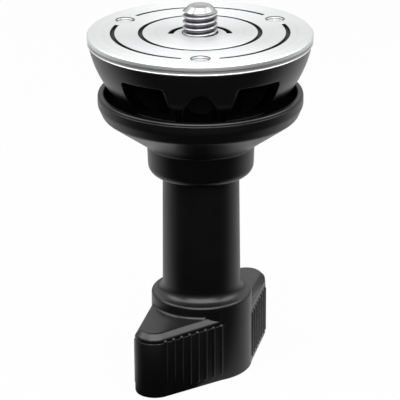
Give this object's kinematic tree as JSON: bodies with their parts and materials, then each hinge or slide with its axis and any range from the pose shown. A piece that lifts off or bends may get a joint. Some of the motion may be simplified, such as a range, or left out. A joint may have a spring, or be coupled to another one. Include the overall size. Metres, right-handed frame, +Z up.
{
  "type": "tripod half ball adapter",
  "caption": "Half ball with a flat head plate and threaded stud, clamped into a tripod bowl by a dish and winged knob on a tie rod.",
  "frame": {"origin": "centre of the knob's flat underside, on the tie rod's axis", "axes": "+Z up along the tie rod towards the mounting stud; -Y towards the viewer of the picture, through the front lock screw"},
  "size_m": [0.0616, 0.0616, 0.1063],
  "materials": {
    "machined_aluminium": "satin, finely turned",
    "ball_coat": "black satin powder coat",
    "bare_steel": "bright turned",
    "screw_steel": "bright",
    "dark_steel": "blackened",
    "dish_moulding": "fine matte moulding",
    "handle_moulding": "fine matte moulding",
    "nylon": "natural",
    "insert_brass": "turned"
  },
  "bodies": {
    "ball": {"top_plate": "machined_aluminium", "ball_shell": "ball_coat", "tie_rod": "bare_steel", "rod_washer": "dark_steel", "rod_nut": "dark_steel", "rod_stop_washer": "dark_steel", "rod_stop_clip": "dark_steel", "plate_screw_1": "dark_steel", "plate_screw_2": "dark_steel", "plate_screw_3": "dark_steel", "plate_screw_4": "dark_steel"},
    "lock_1": {"lock_screw_1": "screw_steel"},
    "lock_2": {"lock_screw_2": "screw_steel"},
    "lock_3": {"lock_screw_3": "screw_steel"},
    "clamp": {"clamp_dish": "dish_moulding", "dish_bush": "nylon", "ring_washer": "dark_steel", "thrust_washer": "nylon"},
    "handle": {"handle": "handle_moulding", "handle_nut": "insert_brass", "retaining_ring": "dark_steel", "end_cap": "handle_moulding"}
  },
  "joints": [
    {"name": "clamp_travel", "type": "slide", "parent": "ball", "child": "clamp", "axis": [0, 0, 1], "range_m": [-0.01201, 0.0036]},
    {"name": "handle_turn", "type": "hinge", "parent": "clamp", "child": "handle", "pos_m": [0, 0, 0], "axis": [0, 0, 1], "range_deg": [-2720, 814]},
    {"name": "lock_screw_1_travel", "type": "slide", "parent": "ball", "child": "lock_1", "axis": [0, 0, 1], "range_m": [-0.0015, 0.0012]},
    {"name": "lock_screw_2_travel", "type": "slide", "parent": "ball", "child": "lock_2", "axis": [0, 0, 1], "range_m": [-0.0015, 0.0012]},
    {"name": "lock_screw_3_travel", "type": "slide", "parent": "ball", "child": "lock_3", "axis": [0, 0, 1], "range_m": [-0.0015, 0.0012]}
  ],
  "couplings": [
    {"joint": "clamp_travel", "follows": "handle_turn", "m_per_rad": 0.00025266}
  ]
}
